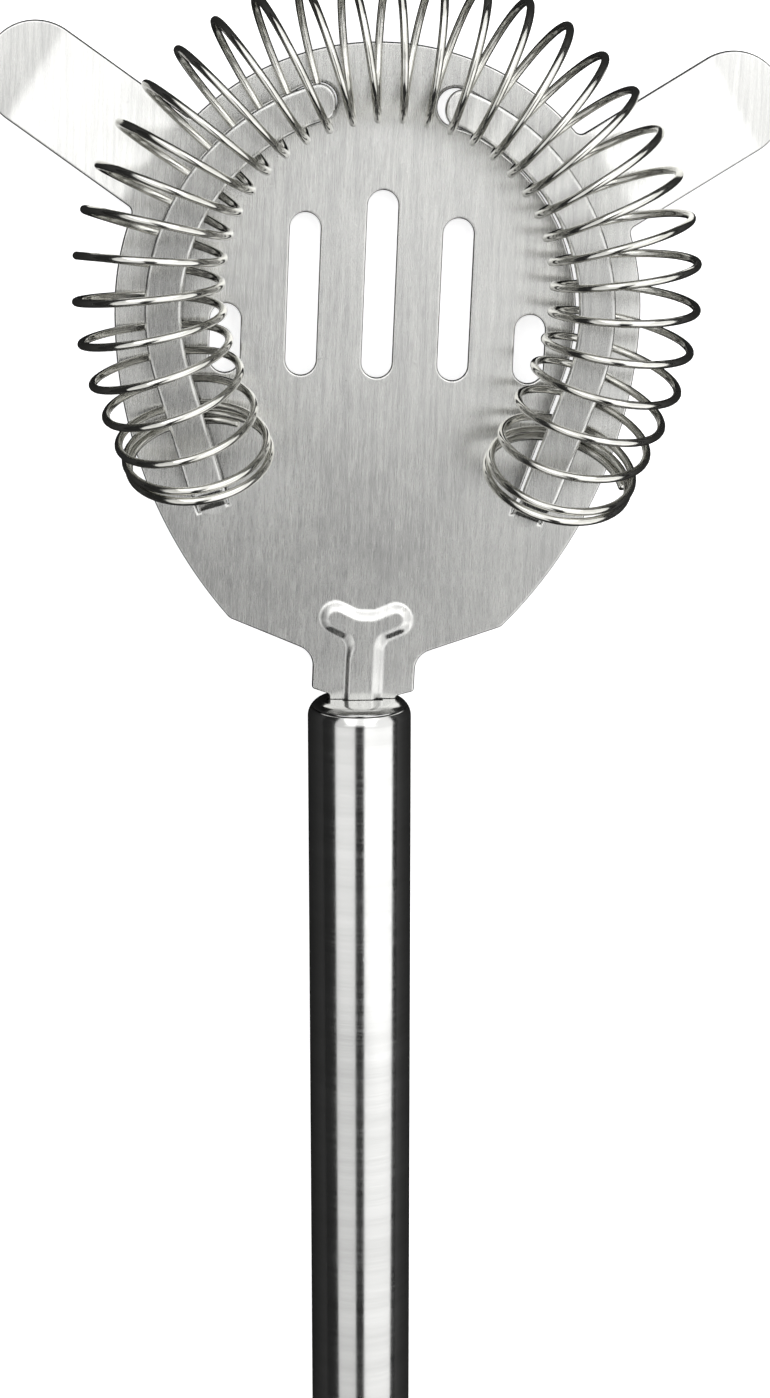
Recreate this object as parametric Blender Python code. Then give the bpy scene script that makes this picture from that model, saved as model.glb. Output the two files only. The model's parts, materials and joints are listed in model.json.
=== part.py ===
"""Hawthorne strainer: a stamped plate that holds a coil spring on two raised tongues, on a tube handle.

Metres, +Z up. The strainer lies on its back with the spring side up. The tips of its ears and the
underside of its handle touch z = 0, and +Y runs from the handle to the top of the plate.
The plate is drawn flat, with the middle of its disc at the origin and its back face on z = 0.
"""

import math

import bmesh
import bpy
import numpy as np
from mathutils import Matrix, Vector

MM = 0.001
DEG = math.pi / 180
FIT_GAP = 0.3 * MM

# Sheet and disc
SHEET = 1.0 * MM
DISC_RADIUS = 39.5 * MM
LOWER_CORNER = (20.9 * MM, -47.5 * MM)
LOWER_CORNER_RADIUS = 2.0 * MM

# Neck, shoulders and tang
NECK_HALF_WIDTH = 7.9 * MM
NECK_MEETS_DISC_Y = -52.4 * MM
NECK_FILLET = 3.2 * MM
SHOULDER_OUTER_Y = -58.1 * MM
SHOULDER_INNER_Y = -58.9 * MM
SHOULDER_RADIUS = 0.7 * MM
TANG_HALF_WIDTH = 5.2 * MM
TANG_END_Y = -88.0 * MM
TANG_CORNER_RADIUS = 1.5 * MM
NECK_FOLD_Y = -55.6 * MM

# Ears, each on its own axis from the middle of the disc
EAR_ANGLE = 33 * DEG
EAR_HALF_WIDTH = 7.9 * MM
EAR_OFFSET = -0.85 * MM
EAR_ROUND_AT = 61.2 * MM
EAR_ROOT_FOLD_AT = 40.6 * MM
EAR_TIP_FOLD_AT = 61.0 * MM
EAR_FOLD_ANGLE = 6 * DEG

# Drain slots: how far each stands from the middle, and its top
SLOT_HALF_WIDTH = 2.3 * MM
SLOT_PITCH = 11.45 * MM
SLOT_BOTTOM_Y = -9.9 * MM
SLOT_TOPS_Y = (18.0 * MM, 14.3 * MM, 0.4 * MM)

# Tongues: a straight stretch from the root, then an arc round the middle of the disc
TONGUE_HALF_WIDTH = 2.6 * MM
TONGUE_ARC_RADIUS = 32.1 * MM
TONGUE_SLOPE = 18 * DEG
TONGUE_STRAIGHT = 21.7 * MM
TONGUE_TIP_FROM_TOP = 18.4 * DEG
TONGUE_SLIT = 0.7 * MM
TONGUE_TIP_SLIT = 1.0 * MM
TONGUE_RAMP = 3.6 * MM
TONGUE_RAMP_LIFT = 4.8 * MM
TONGUE_TIP_LIFT = 8.8 * MM
TONGUE_LENGTH = TONGUE_STRAIGHT + TONGUE_ARC_RADIUS * (math.pi / 2 - TONGUE_TIP_FROM_TOP + TONGUE_SLOPE)

# Rib pressed into the neck: two arms and a stem
RIB_HEIGHT = 1.2 * MM
RIB_WALL = 0.9 * MM
RIB_FORK_Y = -48.9 * MM
RIB_ARM_END = (4.6 * MM, -46.8 * MM)
RIB_ARM_HALF_WIDTH = 2.5 * MM
RIB_STEM_HALF_WIDTH = 2.8 * MM
RIB_END_Y = -70.0 * MM
RIB_END_ROUNDING = 0.98

# Spring: one wire whose coils follow a horseshoe
WIRE_RADIUS = 0.6 * MM
COIL_RADIUS = 10.8 * MM
COIL_OVER_PLATE = 0.4 * MM
LOOP_RADIUS = 34.6 * MM
LOOP_CENTRE_Y = 3.6 * MM
LOOP_SLOPE = 24 * DEG
LOOP_END_Y = -22.6 * MM
FIRST_TURN = -1.336
LAST_TURN = 33.97
CLOSED_TURNS = 1.2
CLOSED_BLEND_TURNS = 0.8
CLOSED_PITCH = 2.05 * MM
END_LEAN = 21 * DEG
LEAN_REACH = 34.0 * MM
LEAN_POWER = 1.5
POINTS_PER_TURN = 10
GAP_SAMPLES_PER_STEP = 4

# Handle: turned pieces on one axis
HANDLE_RADIUS = 8.0 * MM
HANDLE_WALL = 0.8 * MM
HANDLE_TOP_Y = -60.2 * MM
HANDLE_SIDE_STEP = -0.45 * MM
HANDLE_SIDE_LEAN = 2.56 * DEG
HANDLE_LENGTH = 132.0 * MM
CAP_FLAT_RADIUS = 5.35 * MM
CAP_LENGTH = 4.2 * MM
SPIGOT_LENGTH = 10.0 * MM
DOME_LENGTH = 4.0 * MM

ARC_STEP = 6 * DEG
CORNER_STEPS = 4
SLOT_END_STEPS = 8
TURNED_STEPS = 32
DOME_STEPS = 5
SHARP_EDGE = 30 * DEG
SAME_PLACE = 0.0001 * MM
MERGE_DISTANCE = 0.001 * MM

# Finishes: colour and roughness of each steel
PLATE_STEEL = ((0.62, 0.62, 0.61), 0.34)
WIRE_STEEL = ((0.66, 0.66, 0.64), 0.16)
HANDLE_STEEL = ((0.6, 0.6, 0.6), 0.22)


def clear_scene():
    for obj in list(bpy.data.objects):
        bpy.data.objects.remove(obj, do_unlink=True)


def arc(centre, radius, start, end):
    """Points on an arc from one angle to another, about one every ARC_STEP."""
    steps = max(2, round(abs(end - start) / ARC_STEP))
    angles = [start + (end - start) * i / steps for i in range(steps + 1)]
    return [(centre[0] + radius * math.cos(a), centre[1] + radius * math.sin(a)) for a in angles]


def rounded_corner(before, corner, after, radius):
    """The corner of an outline as an arc that is tangent to both of its sides."""
    corner = Vector(corner)
    to_before = (Vector(before) - corner).normalized()
    to_after = (Vector(after) - corner).normalized()
    half_angle = to_before.angle(to_after) / 2
    centre = corner + (to_before + to_after).normalized() * radius / math.sin(half_angle)
    start = corner + to_before * radius / math.tan(half_angle) - centre
    end = corner + to_after * radius / math.tan(half_angle) - centre
    sweep = math.atan2(start.cross(end), start.dot(end))
    turned = [Matrix.Rotation(sweep * i / CORNER_STEPS, 2) @ start for i in range(CORNER_STEPS + 1)]
    return [tuple(centre + point) for point in turned]


def rounded_path(corners):
    """An open path through (point, radius) pairs. A radius of None keeps the point itself."""
    points = []
    for i, (point, radius) in enumerate(corners):
        if radius is None:
            points.append(point)
        else:
            points += rounded_corner(corners[i - 1][0], point, corners[i + 1][0], radius)
    return points


def mirrored(points):
    return [(-x, y) for x, y in points]


def both_halves(right_half):
    """A closed outline from its right half, which runs from the centre line back to it."""
    inner = right_half[1:-1]
    return right_half + mirrored(inner)[::-1]


def on_ear(along, across):
    return (
        along * math.cos(EAR_ANGLE) - across * math.sin(EAR_ANGLE),
        along * math.sin(EAR_ANGLE) + across * math.cos(EAR_ANGLE),
    )


def plate_outline():
    """Tang, shoulders, neck, slanting lower edges, disc and ears, from the tang's end to the top."""
    corner_angle = math.atan2(LOWER_CORNER[1], LOWER_CORNER[0])
    tangent_angle = corner_angle + math.acos(DISC_RADIUS / math.hypot(*LOWER_CORNER))
    ear_low = EAR_OFFSET - EAR_HALF_WIDTH
    ear_high = EAR_OFFSET + EAR_HALF_WIDTH
    ear_low_angle = EAR_ANGLE + math.asin(ear_low / DISC_RADIUS)
    ear_high_angle = EAR_ANGLE + math.asin(ear_high / DISC_RADIUS)
    disc_low = arc((0, 0), DISC_RADIUS, tangent_angle, ear_low_angle)
    disc_high = arc((0, 0), DISC_RADIUS, ear_high_angle, math.pi / 2)
    ear_end = arc((EAR_ROUND_AT, EAR_OFFSET), EAR_HALF_WIDTH, -math.pi / 2, math.pi / 2)
    neck = rounded_path([
        ((0, TANG_END_Y), None),
        ((TANG_HALF_WIDTH, TANG_END_Y), TANG_CORNER_RADIUS),
        ((TANG_HALF_WIDTH, SHOULDER_INNER_Y), SHOULDER_RADIUS),
        ((NECK_HALF_WIDTH, SHOULDER_OUTER_Y), SHOULDER_RADIUS),
        ((NECK_HALF_WIDTH, NECK_MEETS_DISC_Y), NECK_FILLET),
        (LOWER_CORNER, LOWER_CORNER_RADIUS),
        (disc_low[0], None),
    ])
    right_half = neck + disc_low[1:] + [on_ear(*point) for point in ear_end] + disc_high
    right_half[-1] = (0, DISC_RADIUS)
    return both_halves(right_half)


def slot_outline(x, top):
    upper = (x, top - SLOT_HALF_WIDTH)
    lower = (x, SLOT_BOTTOM_Y + SLOT_HALF_WIDTH)
    step = math.pi / SLOT_END_STEPS
    points = []
    for centre, start in ((upper, 0), (lower, math.pi)):
        for i in range(SLOT_END_STEPS + 1):
            angle = start + i * step
            points.append((
                centre[0] + SLOT_HALF_WIDTH * math.cos(angle),
                centre[1] + SLOT_HALF_WIDTH * math.sin(angle),
            ))
    return points


def slot_outlines():
    outlines = [slot_outline(0, SLOT_TOPS_Y[0])]
    for count, top in enumerate(SLOT_TOPS_Y[1:], start=1):
        outlines.append(slot_outline(count * SLOT_PITCH, top))
        outlines.append(slot_outline(-count * SLOT_PITCH, top))
    return outlines


def tongue_point(station, offset):
    """A point of the right tongue: its distance along the middle line from the root, and outwards."""
    past_straight = station - TONGUE_STRAIGHT
    angle = max(past_straight, 0) / TONGUE_ARC_RADIUS - TONGUE_SLOPE
    before_arc = min(past_straight, 0)
    radius = TONGUE_ARC_RADIUS + offset
    return (
        radius * math.cos(angle) - before_arc * math.sin(angle),
        radius * math.sin(angle) + before_arc * math.cos(angle),
    )


def tongue_stations():
    arc_steps = round((TONGUE_LENGTH - TONGUE_STRAIGHT) / (TONGUE_ARC_RADIUS * ARC_STEP))
    arc_step = (TONGUE_LENGTH - TONGUE_STRAIGHT) / arc_steps
    along_arc = [TONGUE_STRAIGHT + arc_step * i for i in range(arc_steps + 1)]
    return [0, TONGUE_RAMP, (TONGUE_RAMP + TONGUE_STRAIGHT) / 2] + along_arc


def tongue_tip(radius):
    """The round end of the tongue, from its outer side to its inner side."""
    step = math.pi / SLOT_END_STEPS
    turns = [i * step for i in range(1, SLOT_END_STEPS)]
    return [
        tongue_point(TONGUE_LENGTH + radius * math.sin(turn), radius * math.cos(turn))
        for turn in turns
    ]


def window_outline():
    """The hole that the tongue leaves in the plate. Its root edge is shared with the tongue."""
    half = TONGUE_HALF_WIDTH + TONGUE_SLIT
    stations = tongue_stations()
    outer = [tongue_point(station, half) for station in stations]
    inner = [tongue_point(station, -half) for station in stations]
    root = [tongue_point(0, -TONGUE_HALF_WIDTH), tongue_point(0, TONGUE_HALF_WIDTH)]
    return outer + tongue_tip(TONGUE_HALF_WIDTH + TONGUE_TIP_SLIT) + inner[::-1] + root


def tongue_lift(station):
    """How far the tongue stands above the plate: a ramp at the root, then a slow climb to the tip."""
    ramp = min(station / TONGUE_RAMP, 1)
    climb = max(station - TONGUE_RAMP, 0) / (TONGUE_LENGTH - TONGUE_RAMP)
    return TONGUE_RAMP_LIFT * ramp + (TONGUE_TIP_LIFT - TONGUE_RAMP_LIFT) * climb


def rib_outline(inset):
    """The rib's foot, or with an inset the edge of its flat top. Both have the same count of points."""
    arm = RIB_ARM_HALF_WIDTH - inset
    stem = RIB_STEM_HALF_WIDTH - inset
    fork = Vector((0, RIB_FORK_Y))
    along = (Vector(RIB_ARM_END) - fork).normalized()
    across = Vector((-along.y, along.x))
    tip = Vector(RIB_ARM_END) + along * arm
    notch_y = RIB_FORK_Y + arm / along.x
    armpit_y = RIB_FORK_Y + (stem * along.y - arm) / along.x
    end_y = RIB_END_Y + inset
    right_side = [
        (tuple(tip + across * arm), RIB_END_ROUNDING * arm),
        (tuple(tip - across * arm), RIB_END_ROUNDING * arm),
        ((stem, armpit_y), RIB_WALL + inset),
        ((stem, end_y), RIB_END_ROUNDING * stem),
    ]
    left_side = [((-x, y), radius) for (x, y), radius in right_side[::-1]]
    notch = ((0, notch_y), RIB_WALL / 2 + inset)
    loop = [notch] + right_side + left_side
    points = []
    for i, (point, radius) in enumerate(loop):
        points += rounded_corner(loop[i - 1][0], point, loop[(i + 1) % len(loop)][0], radius)
    return points


def add_loop(bm, points, height=0):
    """A closed row of vertices and edges."""
    verts = [bm.verts.new((x, y, height)) for x, y in points]
    for i, vert in enumerate(verts):
        bm.edges.new((vert, verts[(i + 1) % len(verts)]))
    return verts


def loop_edges(bm, verts):
    return [bm.edges.get((vert, verts[(i + 1) % len(verts)])) for i, vert in enumerate(verts)]


def fill(bm, loops):
    edges = [edge for verts in loops for edge in loop_edges(bm, verts)]
    bmesh.ops.triangle_fill(bm, edges=edges, use_beauty=True, normal=(0, 0, 1))


def add_tongue(bm, root_inner, root_outer, side):
    """The raised strip, as quads across its width, from the root edge to its round tip."""
    inner, outer = root_inner, root_outer
    for station in tongue_stations()[1:]:
        pair = []
        for offset in (-TONGUE_HALF_WIDTH, TONGUE_HALF_WIDTH):
            x, y = tongue_point(station, offset)
            pair.append(bm.verts.new((side * x, y, tongue_lift(station))))
        bm.faces.new((inner, pair[0], pair[1], outer))
        inner, outer = pair
    tip = [bm.verts.new((side * x, y, TONGUE_TIP_LIFT)) for x, y in tongue_tip(TONGUE_HALF_WIDTH)]
    bm.faces.new([outer] + tip + [inner])


def fold(bm, at, direction, angle):
    """Bends what lies past a straight line in the sheet, away from the spring side."""
    line_point = Vector((*at, SHEET / 2))
    direction = Vector((*direction, 0))
    everything = bm.verts[:] + bm.edges[:] + bm.faces[:]
    bmesh.ops.bisect_plane(bm, geom=everything, plane_co=line_point, plane_no=direction, dist=SAME_PLACE)
    beyond = [vert for vert in bm.verts if (vert.co - line_point).dot(direction) > SAME_PLACE]
    hinge = Vector((0, 0, 1)).cross(direction)
    bmesh.ops.rotate(bm, verts=beyond, cent=line_point, matrix=Matrix.Rotation(angle, 3, hinge))


def lay_angle():
    """The bend at the neck that lets the ear tips and the whole handle lie on one plane."""
    ear_top_y = EAR_ROUND_AT * math.sin(EAR_ANGLE) + EAR_OFFSET * math.cos(EAR_ANGLE) + EAR_HALF_WIDTH
    reach = ear_top_y - NECK_FOLD_Y
    drop = (EAR_TIP_FOLD_AT - EAR_ROOT_FOLD_AT) * math.sin(EAR_FOLD_ANGLE) + SHEET / 2
    return math.asin(HANDLE_RADIUS / math.hypot(reach, drop)) - math.atan2(drop, reach)


def sheet_mesh():
    """The whole stamping: a flat blank with its holes, given thickness, then folded."""
    bm = bmesh.new()
    outline = add_loop(bm, plate_outline())
    slots = [add_loop(bm, points) for points in slot_outlines()]
    windows = {
        1: add_loop(bm, window_outline()),
        -1: add_loop(bm, mirrored(window_outline())),
    }
    rib_foot = add_loop(bm, rib_outline(0))
    fill(bm, [outline, *slots, *windows.values(), rib_foot])
    for side, window in windows.items():
        add_tongue(bm, window[-2], window[-1], side)
    rib_top = add_loop(bm, rib_outline(RIB_WALL), RIB_HEIGHT)
    for i in range(len(rib_foot)):
        bm.faces.new((rib_foot[i - 1], rib_foot[i], rib_top[i], rib_top[i - 1]))
    fill(bm, [rib_top])
    bmesh.ops.recalc_face_normals(bm, faces=bm.faces[:])
    raised = bmesh.ops.extrude_face_region(bm, geom=bm.faces[:])["geom"]
    upper = [item for item in raised if isinstance(item, bmesh.types.BMVert)]
    bmesh.ops.translate(bm, verts=upper, vec=(0, 0, SHEET))
    bmesh.ops.triangulate(bm, faces=bm.faces[:])
    for side in (1, -1):
        direction = (side * math.cos(EAR_ANGLE), math.sin(EAR_ANGLE))
        for along, angle in ((EAR_TIP_FOLD_AT, -EAR_FOLD_ANGLE), (EAR_ROOT_FOLD_AT, EAR_FOLD_ANGLE)):
            fold(bm, (along * direction[0], along * direction[1]), direction, angle)
    fold(bm, (0, NECK_FOLD_Y), (0, -1), lay_angle())
    bmesh.ops.recalc_face_normals(bm, faces=bm.faces[:])
    return bm


def loop_frame(distance):
    """Place, outward direction and onward direction on the spring's horseshoe, by distance from its top."""
    end_angle = math.pi / 2 + LOOP_SLOPE
    angle = np.clip(distance / LOOP_RADIUS, -end_angle, end_angle)
    past_arc = distance - angle * LOOP_RADIUS
    outward = np.stack([np.sin(angle), np.cos(angle)], axis=1)
    onward = np.stack([np.cos(angle), -np.sin(angle)], axis=1)
    place = outward * LOOP_RADIUS + onward * past_arc[:, None] + np.array([0, LOOP_CENTRE_Y])
    return place, outward, onward


def half_loop_length():
    end_angle = math.pi / 2 + LOOP_SLOPE
    arc_end_y = LOOP_CENTRE_Y + LOOP_RADIUS * math.cos(end_angle)
    return LOOP_RADIUS * end_angle + (arc_end_y - LOOP_END_Y) / math.cos(LOOP_SLOPE)


def distance_along_loop(turns):
    """Distance from the top of the loop at each turn: closed pitch at the ends, one open pitch between."""
    from_end = np.minimum(turns - FIRST_TURN, LAST_TURN - turns)
    share = np.clip((from_end - CLOSED_TURNS) / CLOSED_BLEND_TURNS, 0, 1)
    share = share * share * (3 - 2 * share)
    step = np.diff(turns)
    open_turns = np.concatenate([[0], np.cumsum((share[1:] + share[:-1]) / 2 * step)])
    closed_turns = turns - FIRST_TURN - open_turns
    half = half_loop_length()
    open_pitch = (2 * half - CLOSED_PITCH * closed_turns[-1]) / open_turns[-1]
    return CLOSED_PITCH * closed_turns + open_pitch * open_turns - half


def spring_points():
    """The wire's middle line: circles carried along the horseshoe, leaning towards the handle at its ends."""
    count = round((LAST_TURN - FIRST_TURN) * POINTS_PER_TURN) + 1
    turns = np.linspace(FIRST_TURN, LAST_TURN, count)
    distance = distance_along_loop(turns)
    place, outward, onward = loop_frame(distance)
    from_end = half_loop_length() - np.abs(distance)
    lean = END_LEAN * np.clip(1 - from_end / LEAN_REACH, 0, 1) ** LEAN_POWER
    side = COIL_RADIUS * np.cos(2 * math.pi * turns)
    rise = COIL_RADIUS * np.sin(2 * math.pi * turns)
    slip = np.sign(distance) * np.tan(lean) * rise
    plan = place + outward * side[:, None] + onward * slip[:, None]
    middle = SHEET + COIL_OVER_PLATE + WIRE_RADIUS + COIL_RADIUS
    return np.column_stack([plan, middle + rise])


def least_gap(points):
    """The smallest clear space between two turns, over points a third of a turn or more apart."""
    shares = np.arange(GAP_SAMPLES_PER_STEP) / GAP_SAMPLES_PER_STEP
    fine = np.concatenate([points[:-1] * (1 - t) + points[1:] * t for t in shares])
    order = np.concatenate([np.arange(len(points) - 1) + t for t in shares])
    apart = np.linalg.norm(fine[:, None] - fine[None], axis=2)
    apart[np.abs(order[:, None] - order[None]) < POINTS_PER_TURN / 3] = np.inf
    return apart.min() - 2 * WIRE_RADIUS


def turned_mesh(profile):
    """A solid of revolution about Z from (radius, height) points, listed round the section."""
    bm = bmesh.new()
    verts = [bm.verts.new((radius, 0, height)) for radius, height in profile]
    edges = [bm.edges.new((verts[i - 1], vert)) for i, vert in enumerate(verts)]
    bmesh.ops.spin(
        bm, geom=verts + edges, axis=(0, 0, 1), cent=(0, 0, 0), angle=2 * math.pi, steps=TURNED_STEPS
    )
    bmesh.ops.remove_doubles(bm, verts=bm.verts[:], dist=MERGE_DISTANCE)
    bmesh.ops.dissolve_degenerate(bm, edges=bm.edges[:], dist=SAME_PLACE)
    bmesh.ops.recalc_face_normals(bm, faces=bm.faces[:])
    return bm


def spigot_radius():
    return HANDLE_RADIUS - HANDLE_WALL - FIT_GAP


def front_cap_profile():
    shoulder = HANDLE_RADIUS - CAP_FLAT_RADIUS
    quarter = arc((CAP_FLAT_RADIUS, shoulder), shoulder, -math.pi / 2, 0)
    plug = [
        (HANDLE_RADIUS, CAP_LENGTH),
        (spigot_radius(), CAP_LENGTH),
        (spigot_radius(), CAP_LENGTH + SPIGOT_LENGTH),
        (0, CAP_LENGTH + SPIGOT_LENGTH),
    ]
    return [(0, 0)] + quarter + plug


def tube_profile():
    start = CAP_LENGTH + FIT_GAP
    end = HANDLE_LENGTH - DOME_LENGTH - FIT_GAP
    bore = HANDLE_RADIUS - HANDLE_WALL
    return [(HANDLE_RADIUS, start), (HANDLE_RADIUS, end), (bore, end), (bore, start)]


def end_cap_profile():
    rim = HANDLE_LENGTH - DOME_LENGTH
    steps = [math.pi / 2 * i / DOME_STEPS for i in range(1, DOME_STEPS)]
    dome = [(HANDLE_RADIUS * math.cos(a), rim + DOME_LENGTH * math.sin(a)) for a in steps]
    plug = [
        (0, rim - SPIGOT_LENGTH),
        (spigot_radius(), rim - SPIGOT_LENGTH),
        (spigot_radius(), rim),
        (HANDLE_RADIUS, rim),
    ]
    return plug + dome + [(0, HANDLE_LENGTH)]


def steel(name, finish):
    colour, roughness = finish
    material = bpy.data.materials.new(name)
    material.use_nodes = True
    shader = material.node_tree.nodes["Principled BSDF"]
    shader.inputs["Base Color"].default_value = (*colour, 1)
    shader.inputs["Roughness"].default_value = roughness
    shader.inputs["Metallic"].default_value = 1
    return material


def add_object(name, data, parent, material=None):
    obj = bpy.data.objects.new(name, data)
    bpy.context.scene.collection.objects.link(obj)
    obj.parent = parent
    if material:
        data.materials.append(material)
    return obj


def add_mesh(name, bm, parent, material=None):
    mesh = bpy.data.meshes.new(name)
    bm.to_mesh(mesh)
    bm.free()
    mesh.shade_smooth()
    mesh.set_sharp_from_angle(angle=SHARP_EDGE)
    return add_object(name, mesh, parent, material)


def add_spring(parent, material):
    points = spring_points()
    print(f"spring: least gap to itself {least_gap(points) / MM:.2f} mm over {len(points)} points")
    curve = bpy.data.curves.new("coil_spring", "CURVE")
    curve.dimensions = "3D"
    curve.bevel_depth = WIRE_RADIUS
    curve.bevel_resolution = 1
    curve.use_fill_caps = True
    spline = curve.splines.new("POLY")
    spline.points.add(len(points) - 1)
    spline.points.foreach_set("co", np.column_stack([points, np.ones(len(points))]).ravel())
    return add_object("coil_spring", curve, parent, material)


def add_tang_cutter(name, half_width, low, high, parent):
    """A block round the tang, with the fit gap on every side, for the slot in the front cap."""
    bm = bmesh.new()
    bmesh.ops.create_cube(bm, size=1)
    length = SHOULDER_INNER_Y - TANG_END_Y
    size = Vector((2 * (half_width + FIT_GAP), length, high - low + 2 * FIT_GAP))
    middle = Vector((0, (SHOULDER_INNER_Y + TANG_END_Y) / 2 - NECK_FOLD_Y, (low + high - SHEET) / 2))
    placed = Matrix.Translation(middle) @ Matrix.Diagonal((*size, 1))
    bmesh.ops.transform(bm, verts=bm.verts[:], matrix=placed)
    cutter = add_mesh(name, bm, parent)
    cutter.hide_render = True
    cutter.display_type = "WIRE"
    return cutter


def add_handle(tang, material):
    """Front cap, tube and end cap on the handle's axis, which starts in the middle of the tang."""
    axis = bpy.data.objects.new("handle_axis", None)
    bpy.context.scene.collection.objects.link(axis)
    axis.parent = tang
    axis.location = (HANDLE_SIDE_STEP, HANDLE_TOP_Y - NECK_FOLD_Y, 0)
    axis.rotation_euler = (math.pi / 2, 0, HANDLE_SIDE_LEAN)
    add_mesh("handle_tube", turned_mesh(tube_profile()), axis, material)
    add_mesh("handle_end_cap", turned_mesh(end_cap_profile()), axis, material)
    cap = add_mesh("handle_front_cap", turned_mesh(front_cap_profile()), axis, material)
    for name, half_width, low, high in (
        ("tang_slot_cutter", TANG_HALF_WIDTH, 0, SHEET),
        ("rib_slot_cutter", RIB_STEM_HALF_WIDTH, 0, SHEET + RIB_HEIGHT),
    ):
        cut = cap.modifiers.new(name, "BOOLEAN")
        cut.operation = "DIFFERENCE"
        cut.solver = "EXACT"
        cut.object = add_tang_cutter(name, half_width, low, high, tang)


def seat_on_floor(strainer):
    """Moves the whole so that its box stands on z = 0, centred on the origin."""
    bpy.context.view_layer.update()
    graph = bpy.context.evaluated_depsgraph_get()
    corners = []
    for obj in bpy.data.objects:
        if obj.type in ("MESH", "CURVE") and not obj.hide_render:
            evaluated = obj.evaluated_get(graph)
            mesh = evaluated.to_mesh()
            corners += [evaluated.matrix_world @ vert.co for vert in mesh.vertices]
            evaluated.to_mesh_clear()
    low = np.min(corners, axis=0)
    high = np.max(corners, axis=0)
    strainer.location = (-(low[0] + high[0]) / 2, -(low[1] + high[1]) / 2, -low[2])
    print(f"lying at {lay_angle() / DEG:.3f} degrees, disc middle at {tuple(strainer.location)}")


def main():
    clear_scene()
    strainer = bpy.data.objects.new("strainer", None)
    bpy.context.scene.collection.objects.link(strainer)
    strainer.rotation_euler = (-lay_angle(), 0, 0)
    tang = bpy.data.objects.new("tang", None)
    bpy.context.scene.collection.objects.link(tang)
    tang.parent = strainer
    tang.location = (0, NECK_FOLD_Y, SHEET / 2)
    tang.rotation_euler = (lay_angle(), 0, 0)
    add_mesh("strainer_plate", sheet_mesh(), strainer, steel("brushed_steel", PLATE_STEEL))
    add_spring(strainer, steel("spring_wire", WIRE_STEEL))
    add_handle(tang, steel("handle_steel", HANDLE_STEEL))
    seat_on_floor(strainer)


main()
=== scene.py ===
# %% [markdown]
# # Dressing a hawthorne strainer
#
# The solids of the strainer already have their sizes and places. This lesson gives each one the surface
# that a camera sees: a brushed stamping with rolled edges, a bright wire spring and a polished tube for a
# handle. Every new piece is a surface worked out with numpy and laid over the solid that it stands for.

import json
import math

import bmesh
import bpy
import numpy as np
from mathutils import Matrix, Vector, geometry


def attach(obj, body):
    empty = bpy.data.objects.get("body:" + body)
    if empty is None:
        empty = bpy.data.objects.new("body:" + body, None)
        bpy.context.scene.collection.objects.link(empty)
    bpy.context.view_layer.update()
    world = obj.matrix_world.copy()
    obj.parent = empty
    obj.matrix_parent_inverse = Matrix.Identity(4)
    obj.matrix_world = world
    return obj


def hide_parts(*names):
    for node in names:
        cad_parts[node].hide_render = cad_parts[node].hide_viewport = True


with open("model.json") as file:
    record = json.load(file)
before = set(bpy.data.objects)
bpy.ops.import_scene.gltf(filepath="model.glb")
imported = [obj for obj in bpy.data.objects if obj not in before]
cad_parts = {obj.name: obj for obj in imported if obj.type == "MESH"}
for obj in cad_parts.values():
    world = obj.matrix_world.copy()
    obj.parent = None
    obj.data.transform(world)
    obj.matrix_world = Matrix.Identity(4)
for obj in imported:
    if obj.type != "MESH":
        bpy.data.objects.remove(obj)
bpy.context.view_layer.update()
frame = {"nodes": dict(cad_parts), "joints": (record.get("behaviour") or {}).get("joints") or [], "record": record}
MM = 0.001

# %% [markdown]
# ## The plate's own axes
#
# The plate leans a little, so that its ear tips and its handle both touch the table. The plate and the
# spring are easier to draw on a level sheet, in millimetres from the middle of the disc. The direction in
# which the spring slides and a mark on the plate's back tell where that sheet lies, so nothing is fitted
# by eye.

# %% From the level sheet to the table
BACK_MARK = np.array([6.0, -25.0, 0.0])

back_face = next(m for m in frame["record"]["mounts"] if m["name"] == "plate_back")
sheet_up = -np.array(back_face["axis"])
sheet_along = -np.array(frame["joints"][0]["axis"])
sheet_axes = np.stack([np.cross(sheet_along, sheet_up), sheet_along, sheet_up])
disc_middle = np.array(back_face["pos_m"]) - MM * BACK_MARK @ sheet_axes
lay_angle = math.atan2(-sheet_along[2], sheet_along[1])


def on_table(points):
    """Sheet millimetres to metres on the table: turn by the sheet's axes, then move to the disc's place."""
    return disc_middle + MM * np.asarray(points) @ sheet_axes


print("plate lies at", round(math.degrees(lay_angle), 3), "degrees, disc middle at", disc_middle.round(5))

# %% [markdown]
# ## Meshes from arrays
#
# A surface on a grid needs only its points: the faces follow from how many rows and columns there are. A
# small helper lists those faces, and another turns points and faces into a finished object: it joins the
# points that meet at seams and poles, turns all faces outwards, and hands the piece to the body that
# carries it.

# %% Grid faces and finished pieces
MERGE_DISTANCE = 2e-6


def grid_faces(rows, columns, closed_rows=False):
    """Faces of a grid listed row by row. The columns close into a ring, the rows only if asked."""
    row = np.arange(rows if closed_rows else rows - 1)
    column = np.arange(columns)
    i, j = np.meshgrid(row, column, indexing="ij")
    here, onward = i * columns, (i + 1) % rows * columns
    beside = (j + 1) % columns
    return np.stack([here + j, here + beside, onward + beside, onward + j], axis=-1).reshape(-1, 4)


def mesh_from(name, points, faces):
    """A closed mesh: equal points are joined, faces with no area go, and the rest point outwards."""
    mesh = bpy.data.meshes.new(name)
    mesh.from_pydata(points.tolist(), [], [face for group in faces for face in group.tolist()])
    bm = bmesh.new()
    bm.from_mesh(mesh)
    bmesh.ops.remove_doubles(bm, verts=bm.verts[:], dist=MERGE_DISTANCE)
    bmesh.ops.dissolve_degenerate(bm, edges=bm.edges[:], dist=MERGE_DISTANCE / 2)
    bmesh.ops.recalc_face_normals(bm, faces=bm.faces[:])
    bm.to_mesh(mesh)
    bm.free()
    mesh.shade_smooth()
    return mesh


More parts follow.
